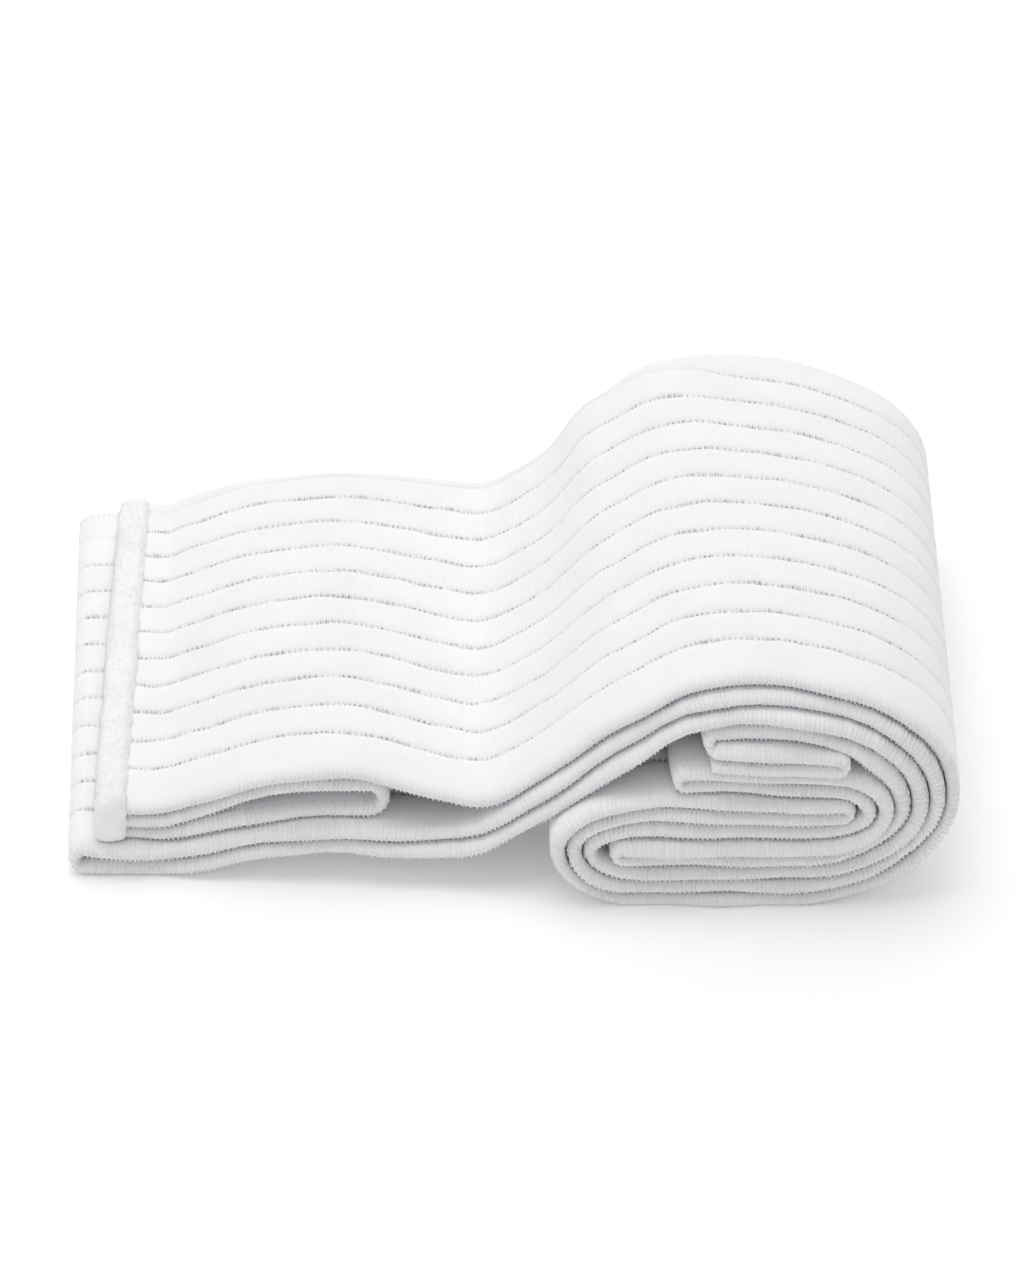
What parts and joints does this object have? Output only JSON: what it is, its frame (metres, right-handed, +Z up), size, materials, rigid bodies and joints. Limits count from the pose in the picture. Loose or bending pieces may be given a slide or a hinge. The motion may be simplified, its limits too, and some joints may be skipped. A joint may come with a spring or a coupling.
{
  "type": "compression wrap bandage",
  "caption": "Wide elastic bandage of ribbed knit with openwork lines, folded flat at its bound end and wound into a flat coil at the other.",
  "frame": {"origin": "on the table, under the middle of the bandage's box", "axes": "+X along the lay of the strip, from the folded end to the coil; +Y across the strip, from its near edge to its far edge; +Z up from the table"},
  "size_m": [0.1018, 0.0874, 0.0268],
  "materials": {
    "ribbed_knit": "matte ribbed elastic knit",
    "binding_tape": "matte fuzzy tape"
  },
  "bodies": {
    "root": {"wrap_strip": "ribbed_knit", "end_binding": "binding_tape"}
  },
  "joints": []
}
